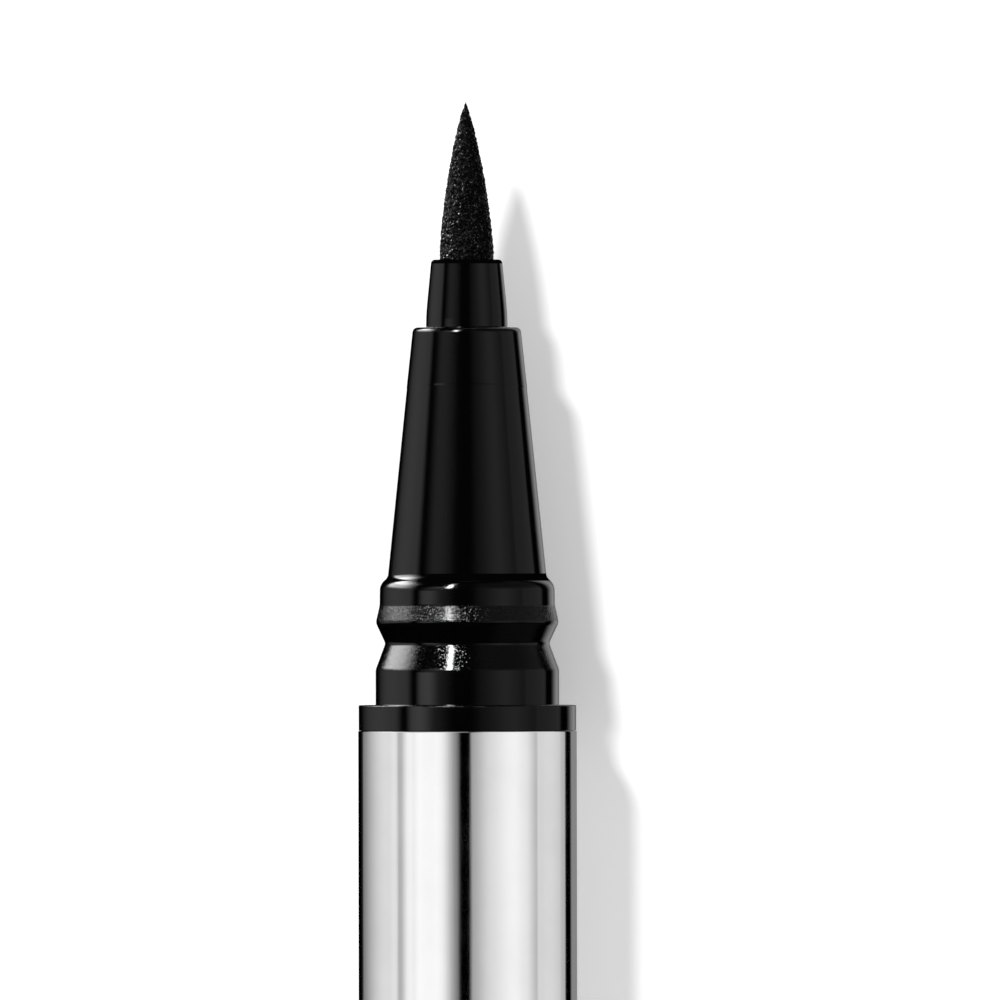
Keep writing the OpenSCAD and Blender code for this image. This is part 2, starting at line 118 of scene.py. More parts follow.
NIB_R = 1.3
NIB_FULLNESS = 1.5
NIB_SHARPNESS = 0.85
SHELL_ROUND = 0.8
FLANGE_ROUND = 0.05
COLLAR_ROUND = 0.6
GROOVE_ROUND = 0.25
BEAD_ROUND = 0.45
LAND_ROUND = 0.5
NOZZLE_ROUND = 0.2


# Sizes that follow the photograph's highlights, where the part's source follows its outline

LAND_LEN = 1.02
STEP_SLOPE = math.radians(50)
STEP_ROUND = 0.66
FILLET_SHARE = 0.9
SHOULDER_ROUND = 0.25


# Small roundings that are made here only

CRISP_ROUND = 0.03
FINE_ROUND = 0.04
NOZZLE_BORE_ROUND = 0.05
TUBE_ROLL = 0.04


# Sizes that follow from the others

FLANGE_R = BARREL_R - FLANGE_STEP
COLLAR_R = BARREL_R - COLLAR_DEPTH
BEAD_R = COLLAR_R - BEAD_DROP
GROOVE_R = BEAD_R - GROOVE_DEPTH
LAND_R = BEAD_R - LAND_DROP
LAND_FRONT_R = LAND_R - LAND_DRAFT
CONE_REAR_R = LAND_R - STEP_DEPTH
CHAMBER_R = GROOVE_R - CHAMBER_WALL
SPIGOT_R = CHAMBER_R + SPIGOT_WALL

COLLAR_Y = FLANGE_Y + FLANGE_LEN
COLLAR_SLOPE_Y = COLLAR_Y + COLLAR_LEN
GROOVE_Y = COLLAR_SLOPE_Y + COLLAR_SLOPE_LEN
GROOVE_END_Y = GROOVE_Y + GROOVE_LEN
BEAD_Y = GROOVE_END_Y + BEAD_BACK_LEN
LAND_Y = BEAD_Y + BEAD_FRONT_LEN
STEP_Y = LAND_Y + LAND_LEN
STEP_DROP = LAND_FRONT_R - CONE_REAR_R
CONE_Y = STEP_Y + STEP_DROP / math.tan(STEP_SLOPE)
CONE_SLOPE = (CONE_REAR_R - CONE_FRONT_R) / (SHOULDER_Y - CONE_Y)


# Outlines and turned pieces

TURNS = 288
ARC_STEP = math.radians(6)
HOLD = 0.015
SHARP = math.radians(24)
ON_AXIS = 1e-6


def corner_arc(before, at, after, radius):
    """Points of the arc that rounds the corner at `at` between two straight edges."""
    back = (Vector(before) - Vector(at)).normalized()
    on = (Vector(after) - Vector(at)).normalized()
    half = math.acos(max(-1.0, min(1.0, back.dot(on)))) / 2
    centre = Vector(at) + (back + on).normalized() * radius / math.sin(half)
    start = Vector(at) + back * radius / math.tan(half) - centre
    end = Vector(at) + on * radius / math.tan(half) - centre
    turn = math.copysign(math.pi - 2 * half, start.x * end.y - start.y * end.x)
    steps = max(3, math.ceil(abs(turn) / ARC_STEP))
    first = math.atan2(start.y, start.x)
    return [
        (centre.x + radius * math.cos(first + turn * i / steps),
         centre.y + radius * math.sin(first + turn * i / steps))
        for i in range(steps + 1)
    ]


def rounded(corners):
    """Closed outline of (radius, place) points from corners.

    A corner is given as (radius, place), or with its rounding as a third number.
    """
    outline = []
    for i, corner in enumerate(corners):
        before, after = corners[i - 1][:2], corners[(i + 1) % len(corners)][:2]
        if len(corner) == 2:
            outline.append(tuple(corner))
        else:
            outline += corner_arc(before, corner[:2], after, corner[2])
    return outline


def held(outline):
    """The outline with a point close to each end of its straight runs, so that shading is true."""
    points = []
    for i, here in enumerate(outline):
        start, end = Vector(here), Vector(outline[(i + 1) % len(outline)])
        points.append(start)
        run = (end - start).length
        if run > 4 * HOLD:
            points += [start.lerp(end, HOLD / run), start.lerp(end, 1 - HOLD / run)]
    return points


def new_piece(name, bm, materials):
    """A smooth mesh object from a bmesh, with its materials."""
    mesh = bpy.data.meshes.new(name)
    bm.to_mesh(mesh)
    bm.free()
    for material in materials:
        mesh.materials.append(material)
    mesh.shade_smooth()
    mesh.set_sharp_from_angle(angle=SHARP)
    piece = bpy.data.objects.new(name, mesh)
    bpy.context.scene.collection.objects.link(piece)
    return piece


def turned_mesh(outline, turns=TURNS, close=True):
    """A bmesh turned about the pen's axis from an outline of (radius, place) points."""
    bm = bmesh.new()
    rings = []
    for r, y in outline:
        if r < ON_AXIS:
            rings.append([bm.verts.new((0, y * MM, 0))])
            continue
        rings.append([
            bm.verts.new((
                r * MM * math.sin(2 * math.pi * i / turns),
                y * MM,
                r * MM * math.cos(2 * math.pi * i / turns),
            ))
            for i in range(turns)
        ])
    followers = rings[1:] + rings[:1] if close else rings[1:]
    for ring, other in zip(rings, followers):
        for i in range(turns):
            j = (i + 1) % turns
            corners = [
                ring[i % len(ring)], ring[j % len(ring)],
                other[j % len(other)], other[i % len(other)],
            ]
            face = list(dict.fromkeys(corners))
            if len(face) > 2:
                bm.faces.new(face)
    bmesh.ops.recalc_face_normals(bm, faces=bm.faces)
    return bm


def turned(name, corners, materials):
    """A piece turned about the pen's axis from its corners."""
    return new_piece(name, turned_mesh(held(rounded(corners))), materials)


def finish_piece(piece, body, slot, *nodes):
    """Puts a finished piece on its body and hides the nodes that it stands for. The slot is not
    used.
    """
    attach(piece, body)
    if nodes:
        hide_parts(*nodes)
    return piece


# Node trees

NOISE_SPAN = (0.3, 0.7)


class Graph:
    """Short calls that build the nodes of a material or world.

    An input is a number, a colour or another node's output.
    """

    def __init__(self, owner):
        """Starts from the owner's emptied node tree."""
        owner.use_nodes = True
        self.tree = owner.node_tree
        self.tree.nodes.clear()

    def add(self, kind, inputs=None, **settings):
        """A new node with these settings and inputs."""
        node = self.tree.nodes.new(kind)
        for name, value in settings.items():
            setattr(node, name, value)
        for key, value in (inputs or {}).items():
            self.put(node.inputs[key], value)
        return node

    def put(self, socket, value):
        """Links a socket to an output, or gives it a fixed value."""
        if isinstance(value, bpy.types.NodeSocket):
            self.tree.links.new(value, socket)
        else:
            socket.default_value = value

    def math(self, operation, *values):
        """The result of a sum on numbers."""
        node = self.add("ShaderNodeMath", operation=operation)
        for socket, value in zip(node.inputs, values):
            self.put(socket, value)
        return node.outputs[0]

    def ramp(self, value, start, end, first=0.0, last=1.0, kind="SMOOTHSTEP"):
        """A value that goes from first to last as `value` goes from start to end."""
        node = self.add(
            "ShaderNodeMapRange",
            {"Value": value, "From Min": start, "From Max": end, "To Min": first, "To Max": last},
            interpolation_type=kind,
        )
        return node.outputs["Result"]

    def varied(self, value, least, most):
        """A value between least and most that follows a noise."""
        return self.ramp(value, *NOISE_SPAN, least, most)

    def window(self, value, rise, fall):
        """1 between rise and fall, which are pairs of start and end, and 0 outside them."""
        return self.math("MULTIPLY", self.ramp(value, *rise), self.ramp(value, *fall, 1.0, 0.0))

    def place_mm(self):
        """The place on the piece in millimetres, and its parts along X, Y and Z."""
        place = self.add("ShaderNodeTexCoord").outputs["Object"]
        scaled = self.add("ShaderNodeVectorMath", {0: place, "Scale": 1 / MM}, operation="SCALE")
        parts = self.add("ShaderNodeSeparateXYZ", {0: scaled.outputs[0]})
        return scaled.outputs[0], parts.outputs

    def along_pen(self, place, factor):
        """The place scaled along the pen only. A factor below 1 draws texture out along it."""
        return self.vectors("MULTIPLY", place, (1, factor, 1))

    def noise(self, place, scale, detail, roughness=0.5):
        """Soft noise, mostly within NOISE_SPAN. The scale is its lumps in a millimetre."""
        node = self.add(
            "ShaderNodeTexNoise",
            {"Vector": place, "Scale": scale, "Detail": detail, "Roughness": roughness},
        )
        return node.outputs["Fac"]

    def bump(self, height, distance, normal=None):
        """The normal of a surface that rises by the height times the distance in millimetres."""
        node = self.add(
            "ShaderNodeBump",
            {"Height": height, "Distance": distance * MM, "Strength": 1.0},
        )
        if normal is not None:
            self.put(node.inputs["Normal"], normal)
        return node.outputs[0]

    def vectors(self, operation, *values):
        """The result of a sum on vectors."""
        node = self.add("ShaderNodeVectorMath", operation=operation)
        for socket, value in zip(node.inputs, values):
            self.put(socket, value)
        return node.outputs[0]

    def facets(self, place, scale, spread, rarity):
        """The surface's normal, leaning its own way in each small cell.

        The scale is the number of cells in a millimetre. The greater the rarity, which is a whole
        number from 0, the fewer cells lean far over.
        """
        cell = self.add("ShaderNodeTexVoronoi", {"Vector": place, "Scale": scale}).outputs["Color"]
        centred = self.vectors("MULTIPLY_ADD", cell, (2, 2, 2), (-1, -1, -1))
        squared = self.vectors("MULTIPLY", centred, centred)
        lean = centred
        for _ in range(rarity):
            lean = self.vectors("MULTIPLY", lean, squared)
        normal = self.add("ShaderNodeNewGeometry").outputs["Normal"]
        return self.vectors("NORMALIZE", self.vectors("MULTIPLY_ADD", lean, (spread,) * 3, normal))

    def grey(self, value):
        """A grey colour from a number between 0 and 1."""
        node = self.add("ShaderNodeCombineColor", {"Red": value, "Green": value, "Blue": value})
        return node.outputs[0]

    def surface(self, inputs):
        """Makes the Principled shader with these inputs the material's surface."""
        shader = self.add("ShaderNodeBsdfPrincipled", inputs)
        self.add("ShaderNodeOutputMaterial", {"Surface": shader.outputs[0]})


def new_material(name):
    """A material and the graph that builds its nodes."""
    material = bpy.data.materials.new(name)
    return material, Graph(material)


# Materials

MIRROR_ROUGHNESS = (0.05, 0.09)
BLACK_GREY = (0.0006, 0.0014)
BLACK_IOR = 1.48
PLAIN_SPECULAR = 0.5
FINE_NOISE = {"scale": 14.0, "detail": 4.0}
FINE_BUMP = 0.0004
UNEVEN = 0.2
GRAIN_CELLS = 36.0
FELT_CELLS = 16.0
FELT_LEAN = 0.4
WET_SHARE = (0.84, 1.0)
DRY_TO_WET_IOR = (1.13, 2.6)
GLINT_CUT_X = (-2.6, -1.6)
BLOOM_SPAN = (0.35, 0.75)


def uneven(roughness):
    """Least and greatest roughness of a plastic skin."""
    return roughness * (1 - UNEVEN), roughness * (1 + UNEVEN)


def chrome():
    """Mirror chrome on drawn tube: faint lines along it, and a little haze that varies."""
    material, g = new_material("chrome")
    place, _ = g.place_mm()
    lines = g.noise(g.along_pen(place, 0.02), scale=9.0, detail=4.0)
    haze = g.noise(place, scale=0.35, detail=5.0, roughness=0.6)
    g.surface({
        "Base Color": g.grey(g.varied(haze, 0.88, 0.92)),
        "Metallic": 1.0,
        "Roughness": g.varied(haze, *MIRROR_ROUGHNESS),
        "Normal": g.bump(lines, 0.0006),
    })
    return material


def black_gloss():
    """Glossy black moulded plastic with the slight unevenness of its mould."""
    material, g = new_material("black_gloss")
    place, _ = g.place_mm()
    flow = g.noise(g.along_pen(place, 0.4), scale=0.9, detail=2.0)
    fine = g.noise(place, **FINE_NOISE)
    g.surface({
        "Base Color": g.grey(g.varied(fine, *BLACK_GREY)),
        "Roughness": g.varied(fine, *MIRROR_ROUGHNESS),
        "IOR": BLACK_IOR,
        "Normal": g.bump(fine, FINE_BUMP, g.bump(flow, 0.004)),
    })
    return material


def black_grain(name, spread, rarity, roughness):
    """The same plastic where the mould is spark-eroded, with fine facets that sparkle."""
    material, g = new_material(name)
    place, _ = g.place_mm()
    pits = g.noise(place, scale=9.0, detail=3.0, roughness=0.6)
    g.surface({
        "Base Color": g.grey(g.varied(pits, *BLACK_GREY)),
        "Roughness": g.varied(pits, *uneven(roughness)),
        "IOR": BLACK_IOR,
        "Normal": g.bump(pits, FINE_BUMP, g.facets(place, GRAIN_CELLS, spread, rarity)),
    })
    return material


def black_glint_cut():
    """The same plastic at the step's foot and the nozzle's end, with painted shade: it shines only
    on its left, and its reflection is cut away to the right, where the key's glint would fall.
    """
    material, g = new_material("black_glint_cut")
    place, parts = g.place_mm()
    fine = g.noise(place, **FINE_NOISE)
    # Painted shade: the reflection fades out right of this line along the pen, so that no glint of
    # the key shows there.
    shine = g.ramp(parts["X"], *GLINT_CUT_X, 1.0, 0.0)
    g.surface({
        "Base Color": g.grey(g.varied(fine, *BLACK_GREY)),
        "Roughness": g.varied(fine, *MIRROR_ROUGHNESS),
        "IOR": BLACK_IOR,
        "Specular IOR Level": g.math("MULTIPLY", shine, PLAIN_SPECULAR),
        "Normal": g.bump(fine, FINE_BUMP),
    })
    return material


def felt():
    """Ink-soaked black felt, where a few grains are wet enough to sparkle."""
    material, g = new_material("felt")
    place, _ = g.place_mm()
    grain = g.noise(place, scale=6.0, detail=3.0, roughness=0.6)
    cells = g.add("ShaderNodeTexVoronoi", {"Vector": place, "Scale": FELT_CELLS})
    chance = g.add("ShaderNodeSeparateColor", {0: cells.outputs["Color"]}).outputs[0]
    g.surface({
        "Base Color": g.grey(g.varied(grain, 0.0008, 0.003)),
        "Roughness": g.varied(grain, 0.22, 0.34),
        "IOR": g.ramp(chance, *WET_SHARE, *DRY_TO_WET_IOR),
        "Normal": g.facets(place, FELT_CELLS, FELT_LEAN, 0),
    })
    return material


def plastic(name, grey, roughness, tint=(1.0, 1.0, 1.0), translucent=0.0):
    """Moulded plastic of one grey, with a satin skin and faint flow marks."""
    material, g = new_material(name)
    place, _ = g.place_mm()
    flow = g.noise(g.along_pen(place, 0.3), scale=1.2, detail=3.0)
    skin = g.noise(place, scale=12.0, detail=4.0, roughness=0.6)
    shade = g.varied(flow, grey * 0.96, grey * 1.03)
    channels = [g.math("MULTIPLY", shade, channel) for channel in tint]
    colour = g.add("ShaderNodeCombineColor", dict(zip(("Red", "Green", "Blue"), channels)))
    g.surface({
        "Base Color": colour.outputs[0],
        "Roughness": g.varied(skin, *uneven(roughness)),
        "Transmission Weight": translucent,
        "Normal": g.bump(skin, 0.003, g.bump(flow, 0.006)),
    })
    return material


def fibre():
    """Bundled lengthwise fibre of the wick."""
    material, g = new_material("fibre")
    place, _ = g.place_mm()
    strands = g.noise(g.along_pen(place, 0.06), scale=11.0, detail=4.0, roughness=0.6)
    g.surface({
        "Base Color": g.grey(g.varied(strands, 0.62, 0.86)),
        "Roughness": g.varied(strands, 0.7, 0.95),
        "Sheen Weight": 0.2,
        "Normal": g.bump(strands, 0.05),
    })
    return material


def rubber():
    """Moulded black rubber, with a dusty bloom."""
    material, g = new_material("rubber")
    place, _ = g.place_mm()
    bloom = g.noise(place, scale=6.0, detail=4.0)
    g.surface({
        "Base Color": g.grey(g.ramp(bloom, *BLOOM_SPAN, 0.018, 0.035)),
        "Roughness": g.varied(bloom, 0.5, 0.7),
        "Normal": g.bump(bloom, 0.006),
    })
    return material


def steel(name, factor):
    """Polished steel with fine marks, which run across the pen if the factor is above 1."""
    material, g = new_material(name)
    place, _ = g.place_mm()
    marks = g.noise(g.along_pen(place, factor), scale=16.0, detail=4.0)
    g.surface({
        "Base Color": g.grey(g.varied(marks, 0.52, 0.60)),
        "Metallic": 1.0,
        "Roughness": g.varied(marks, 0.12, 0.26),
        "Normal": g.bump(marks, 0.002),
    })
    return material


CHROME = chrome()
BLACK = black_gloss()
GLINT_CUT = black_glint_cut()
GRAIN = black_grain("black_grain", 0.34, 2, 0.18)
FAINT_GRAIN = black_grain("black_faint_grain", 0.17, 4, 0.06)
HINT_OF_GRAIN = black_grain("black_hint_of_grain", 0.05, 4, 0.07)
SOFT = black_grain("black_soft", 0.06, 2, 0.14)
FELT = felt()
CAD_MATERIALS = {
    "ink_tank": plastic("tank_plastic", 0.80, 0.4, (1.0, 1.0, 0.98), 0.35),
    "tank_plug": plastic("plug_plastic", 0.78, 0.45, (1.0, 1.0, 0.95)),
    "ink_comb": plastic("comb_plastic", 0.62, 0.5),
    "relay_wick": fibre(),
    "seal_ring": rubber(),
    "mixing_ball": steel("steel", 1.0),
    "cap_spring": steel("spring_steel", 4.0),
    "cap_liner": plastic("liner_plastic", 0.84, 0.38, (1.0, 1.0, 0.98)),
    "seal_cup": plastic("seal_plastic", 0.36, 0.42),
}


def dress_cad_nodes():
    """Gives each CAD node that stays its own material."""
    for node, material in CAD_MATERIALS.items():
        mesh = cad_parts[node].data
        mesh.materials.clear()
        mesh.materials.append(material)
        mesh.shade_smooth()
        mesh.set_sharp_from_angle(angle=SHARP)


# Pieces of the pen

GRAIN_MARGIN = 0.08
WITNESS_Y = 111.9
WITNESS_RISE = 0.0125
WITNESS_LEN = 0.07
WITNESS_BOW = 0.22
SWEEP_EASE = 0.08


def cone_radius(y):
    """Radius of the cone at a place along the pen."""
    share = (y - CONE_Y) / (SHOULDER_Y - CONE_Y)
    return CONE_REAR_R + (CONE_FRONT_R - CONE_REAR_R) * share


def off_axis(face):
    """Distance of a face's centre from the pen's axis, in millimetres."""
    return face.center.xz.length / MM


def step_fillet():
    """Radius of the fillet at the step's foot, which takes most of what its round edge leaves."""
    land_angle = math.atan(LAND_DRAFT / LAND_LEN)
    left = STEP_DROP / math.sin(STEP_SLOPE) - STEP_ROUND * math.tan((STEP_SLOPE - land_angle) / 2)
    return FILLET_SHARE * left / math.tan((STEP_SLOPE - math.atan(CONE_SLOPE)) / 2)


def make_front_section():
    """The stepped front section, with grain on its two slopes.

    The witness line of a mould insert runs round its cone, as a slight ledge that bows a little.
    """
    chamber_end = CONE_Y - CHAMBER_END_WALL
    neck_end = SHOULDER_Y - STEM_LEN
    boss_y = FLANGE_Y - BOSS_LEN
    boss_r = BARREL_R - SLEEVE_WALL - CLOSE_FIT
    witness = [
        (cone_radius(WITNESS_Y - WITNESS_LEN), WITNESS_Y - WITNESS_LEN),
        (cone_radius(WITNESS_Y) + WITNESS_RISE, WITNESS_Y),
    ]
    corners = [
        (CHAMBER_R, SPIGOT_Y),
        (SPIGOT_R, SPIGOT_Y),
        (SPIGOT_R, boss_y),
        (boss_r, boss_y),
        (boss_r, FLANGE_Y),
        (FLANGE_R, FLANGE_Y, CRISP_ROUND),
        (FLANGE_R, COLLAR_Y, FLANGE_ROUND),
        (COLLAR_R, COLLAR_Y, FINE_ROUND),
        (COLLAR_R, COLLAR_SLOPE_Y, COLLAR_ROUND),
        (GROOVE_R, GROOVE_Y, GROOVE_ROUND),
        (GROOVE_R, GROOVE_END_Y, GROOVE_ROUND),
        (BEAD_R, BEAD_Y, BEAD_ROUND),
        (LAND_R, LAND_Y, LAND_ROUND),
        (LAND_FRONT_R, STEP_Y, STEP_ROUND),
        (CONE_REAR_R, CONE_Y, step_fillet()),
        *witness,
        (CONE_FRONT_R, SHOULDER_Y, SHOULDER_ROUND),
        (STEM_R + CLOSE_FIT, SHOULDER_Y, FINE_ROUND),
        (STEM_R + CLOSE_FIT, neck_end),
        (NECK_BORE_R, neck_end),
        (NECK_BORE_R, chamber_end),
        (CHAMBER_R, chamber_end),
    ]
    materials = [BLACK, GRAIN, FAINT_GRAIN, GLINT_CUT, HINT_OF_GRAIN, SOFT]
    piece = turned("front_section_gloss", corners, materials)
    step_middle = (STEP_Y + CONE_Y) / 2
    skin_r = SPIGOT_R - STEP_DEPTH
    textured = (
        (COLLAR_Y - FLANGE_ROUND, COLLAR_Y, skin_r, GRAIN),
        (COLLAR_SLOPE_Y, GROOVE_Y, skin_r, FAINT_GRAIN),
        (BEAD_Y + GRAIN_MARGIN, LAND_Y, skin_r, GRAIN),
        (STEP_Y - STEP_ROUND / 2, step_middle, skin_r, HINT_OF_GRAIN),
        # The step's foot gets the plastic with painted shade, whose reflection is cut away on its
        # right.
        (step_middle, CONE_Y + STEP_ROUND / 2, skin_r, GLINT_CUT),
        (SHOULDER_Y - SHOULDER_ROUND, math.inf, STEM_R + SHOULDER_ROUND, SOFT),
    )
    for face in piece.data.polygons:
        for start, end, inner_r, material in textured:
            if start < face.center.y / MM < end and off_axis(face) > inner_r:
                face.material_index = materials.index(material)
    for v in piece.data.vertices:
        if abs(v.co.y / MM - WITNESS_Y) < WITNESS_LEN + 2 * HOLD:
            out = Vector((v.co.x, 0, v.co.z)).normalized()
            rise = WITNESS_BOW * (out.z - 1) * MM
            v.co += Vector((0, rise, 0)) - out * rise * CONE_SLOPE
    return finish_piece(piece, "pen", "black_gloss", "front_section")


def make_tip_holder():
    """The nozzle that holds the nib, with its slim stem inside the front section."""
    nozzle_y = SHOULDER_Y + FACE_GAP
    sweep = NOZZLE_SWEEP * math.tan(NOZZLE_SLOPE / 2)
    end_r = NOZZLE_R - (NOZZLE_END_Y - nozzle_y - sweep) * math.tan(NOZZLE_SLOPE)
    bore = NIB_R + CLOSE_FIT
    corners = [
        (bore, STEM_Y),
        (STEM_R - EDGE_BREAK, STEM_Y),
        (STEM_R, STEM_Y + EDGE_BREAK),
        (STEM_R, nozzle_y),
        (NOZZLE_R, nozzle_y, CRISP_ROUND),
        (NOZZLE_R, nozzle_y + sweep, NOZZLE_SWEEP * (1 - SWEEP_EASE)),
        (end_r, NOZZLE_END_Y, NOZZLE_ROUND),
        (bore, NOZZLE_END_Y, NOZZLE_BORE_ROUND),
    ]
    materials = [BLACK, GLINT_CUT]
    piece = turned("tip_holder_gloss", corners, materials)
    # The nozzle's end gets the plastic with painted shade, whose reflection is cut away on its
    # right.
    for face in piece.data.polygons:
        if face.center.y / MM > NOZZLE_END_Y - NOZZLE_ROUND:
            face.material_index = materials.index(GLINT_CUT)
    return finish_piece(piece, "pen", "black_gloss", "tip_holder")


def make_sleeve():
    """The chromed barrel, with rolled edges."""
    bore = BARREL_R - SLEEVE_WALL
    corners = [
        (bore, SLEEVE_Y),
        (BARREL_R, SLEEVE_Y, TUBE_ROLL),
        (BARREL_R, SLEEVE_END_Y, TUBE_ROLL),
        (bore, SLEEVE_END_Y),
    ]
    piece = turned("barrel_chrome", corners, [CHROME])
    return finish_piece(piece, "pen", "chrome", "barrel_sleeve")


def make_tail_cap():
    """The tail piece, with its hollow spigot inside the barrel."""
    spigot_r = BARREL_R - SLEEVE_WALL - CLOSE_FIT
    rim_y = TAIL_Y + TAIL_LEN
    end_y = rim_y + TAIL_SPIGOT_LEN
    corners = [
        (0, TAIL_Y),
        (FLANGE_R, TAIL_Y, TAIL_ROUND),
        (FLANGE_R, rim_y, FINE_ROUND),
        (spigot_r, rim_y),
        (spigot_r, end_y, EDGE_BREAK),
        (spigot_r - TAIL_WALL, end_y),
        (spigot_r - TAIL_WALL, rim_y),
        (0, rim_y),
    ]
    piece = turned("tail_cap_gloss", corners, [BLACK])
    return finish_piece(piece, "pen", "tail_plastic", "tail_cap")


def make_cap_shell():
    """The chromed cap, with a rolled mouth and a round closed end."""
    bore = BARREL_R - SLEEVE_WALL
    corners = [
        (bore, MOUTH_Y),
        (BARREL_R, MOUTH_Y, TUBE_ROLL),
        (BARREL_R, CAP_END_Y, SHELL_ROUND),
        (0, CAP_END_Y),
        (0, CAP_END_Y - SLEEVE_WALL),
        (bore, CAP_END_Y - SLEEVE_WALL, SHELL_ROUND - SLEEVE_WALL),
    ]
    piece = turned("cap_chrome", corners, [CHROME])
    return finish_piece(piece, "cap", "chrome", "cap_shell")


# The felt nib

NIB_RINGS = 220
NIB_TURNS = 230
GRAIN_SIZE = 0.07
GRAIN_HEIGHT = 0.03
LUMP_SIZE = 0.16
LUMP_HEIGHT = 0.06
GRAIN_FADE_LEN = 0.3
GRAIN_FADE_R = 0.15
NIB_CUT = 0.993
NIB_LEAN = 0.045
FIBRE_SIDES = 4
FIBRE_RINGS = 5
FIBRE_TAPER = 0.8
FUZZ_FIBRES = 900
FUZZ_MARGIN = 0.2
FUZZ_ROOT = 0.03
FUZZ_LEN = (0.06, 0.12)
FUZZ_R = (0.012, 0.024)
FUZZ_RAKE = (0.2, 1.6)
FUZZ_BENDS = ((-0.4, 0.4), (-0.2, 0.4), (-0.4, 0.4))
TUFT_FIBRES = 4
TUFT_ROOT = 0.2
TUFT_LEN = (0.22, 0.31)
TUFT_R = 0.02
TUFT_LEAN = (-0.3, 0.3)
TUFT_BEND_X = (-0.1, 0.2)
TUFT_BEND_Z = (-0.1, 0.1)


def nib_share(y):
    """How far a place along the pen is on the way from the nozzle's end to the nib's point."""
    return max(0.0, (y - NOZZLE_END_Y) / (POINT_Y - NOZZLE_END_Y))


def nib_radius(y):
    """Radius of the nib's smooth outline at a place along the pen."""
    return NIB_R * (1 - nib_share(y) ** NIB_FULLNESS) ** NIB_SHARPNESS


def nib_lean(y):
    """How far the nib's middle leans to the left at a place along the pen."""
    return Vector((-NIB_LEAN * nib_share(y), 0, 0))


def grain_height(place):
    """Height of the felt's grains and soft lumps at a place, in millimetres."""
    grains = GRAIN_HEIGHT * noise.noise(place / GRAIN_SIZE)
    return grains + LUMP_HEIGHT * noise.noise(place / LUMP_SIZE)


def make_nib():
    """The felt nib, whose pointed bullet is roughened by grains."""
    start = NOZZLE_END_Y
    end = NOZZLE_END_Y + (POINT_Y - NOZZLE_END_Y) * NIB_CUT
    places = [start + (end - start) * i / NIB_RINGS for i in range(1, NIB_RINGS)]
    outline = [
        (0, NIB_REAR_Y),
        (NIB_R, NIB_REAR_Y),
        (NIB_R, start),
        *[(nib_radius(y), y) for y in places],
        (0, end),
    ]
    bm = turned_mesh(outline, NIB_TURNS)
    for v in bm.verts:
        place = v.co / MM
        out = Vector((place.x, 0, place.z))
        if place.y <= start or out.length < ON_AXIS:
            continue
        fade = min(1.0, (place.y - start) / GRAIN_FADE_LEN)
        rise = grain_height(place) * min(1.0, out.length / GRAIN_FADE_R)
        v.co += (out.normalized() * rise * fade + nib_lean(place.y)) * MM
    return finish_piece(new_piece("felt_nib", bm, [FELT]), "pen", "felt", "felt_tip")


def add_fibre(bm, start, way, length, radius, bend):
    """A thin tapered fibre from start, which bends to one side."""
    side = way.orthogonal().normalized()
    other = way.cross(side)
    last = None
    for i in range(FIBRE_RINGS):
        share = i / (FIBRE_RINGS - 1)
        centre = start + way * length * share + bend * length * share ** 2
        r = radius * (1 - share * FIBRE_TAPER)
        ring = [
            bm.verts.new((centre + (side * math.cos(a) + other * math.sin(a)) * r) * MM)
            for a in (2 * math.pi * k / FIBRE_SIDES for k in range(FIBRE_SIDES))
        ]
        if last is None:
            bm.faces.new(list(reversed(ring)))
        else:
            for k in range(FIBRE_SIDES):
                j = (k + 1) % FIBRE_SIDES
                bm.faces.new((last[k], last[j], ring[j], ring[k]))
        last = ring
    bm.faces.new(last)


def make_nib_fuzz():
    """Stray fibres on the nib, and the small tuft at its point."""
    draw = random.Random(SEED)
    first_y, last_y = NOZZLE_END_Y + FUZZ_MARGIN, POINT_Y - FUZZ_MARGIN
    bm = bmesh.new()
    for _ in range(FUZZ_FIBRES):
        y = first_y + (last_y - first_y) * draw.random()
        if draw.random() > nib_radius(y) / NIB_R:
            continue
        angle = draw.uniform(0, 2 * math.pi)
        out = Vector((math.sin(angle), 0, math.cos(angle)))
        way = (out + Vector((0, draw.uniform(*FUZZ_RAKE), 0))).normalized()
        bend = Vector([draw.uniform(*limits) for limits in FUZZ_BENDS])
        start = out * (nib_radius(y) - FUZZ_ROOT) + Vector((0, y, 0)) + nib_lean(y)
        add_fibre(bm, start, way, draw.uniform(*FUZZ_LEN), draw.uniform(*FUZZ_R), bend)
    for _ in range(TUFT_FIBRES):
        lean = Vector((draw.uniform(*TUFT_LEAN), 1, draw.uniform(*TUFT_LEAN))).normalized()
        bend = Vector((draw.uniform(*TUFT_BEND_X), 0, draw.uniform(*TUFT_BEND_Z)))
        start = Vector((0, POINT_Y - TUFT_ROOT, 0)) + nib_lean(POINT_Y)
        add_fibre(bm, start, lean, draw.uniform(*TUFT_LEN), TUFT_R, bend)
    bmesh.ops.recalc_face_normals(bm, faces=bm.faces)
    return finish_piece(new_piece("nib_fuzz", bm, [FELT]), "pen", "felt")


# The studio

FLOOR_HALF = 6000.0
FLOOR_CELLS = 12
FLOOR_LIFT = 0.24
PAPER_WHITE = (0.965, 0.975)
KEY_FROM = Vector((-0.353, 0.515, 0.737))
KEY_ANGLE = math.radians(7.5)
KEY_STRENGTH = 2.3
AMBIENT = 0.5
STUDIO_TENT_R = 3000.0
BLACK_TENT_R = 2850.0
CHROME_TENT_R = 2700.0
TENT_STRETCH = 2.0
TENT_TURNS = 96
FRAME_WIDTH = 48.5
LENS = 1000.0
SENSOR = 36.0
CENTRE = (1.596, 106.23)
ROLL = math.radians(-0.10)
CLIP = (100.0, 20000.0)


def seen_directly(g):
    """1 where the camera, a mirror or clear plastic looks on, and 0 where light is gathered."""
    path = g.add("ShaderNodeLightPath").outputs
    seen = g.math("MAXIMUM", path["Is Camera Ray"], path["Is Glossy Ray"])
    return g.math("MAXIMUM", seen, path["Is Transmission Ray"])


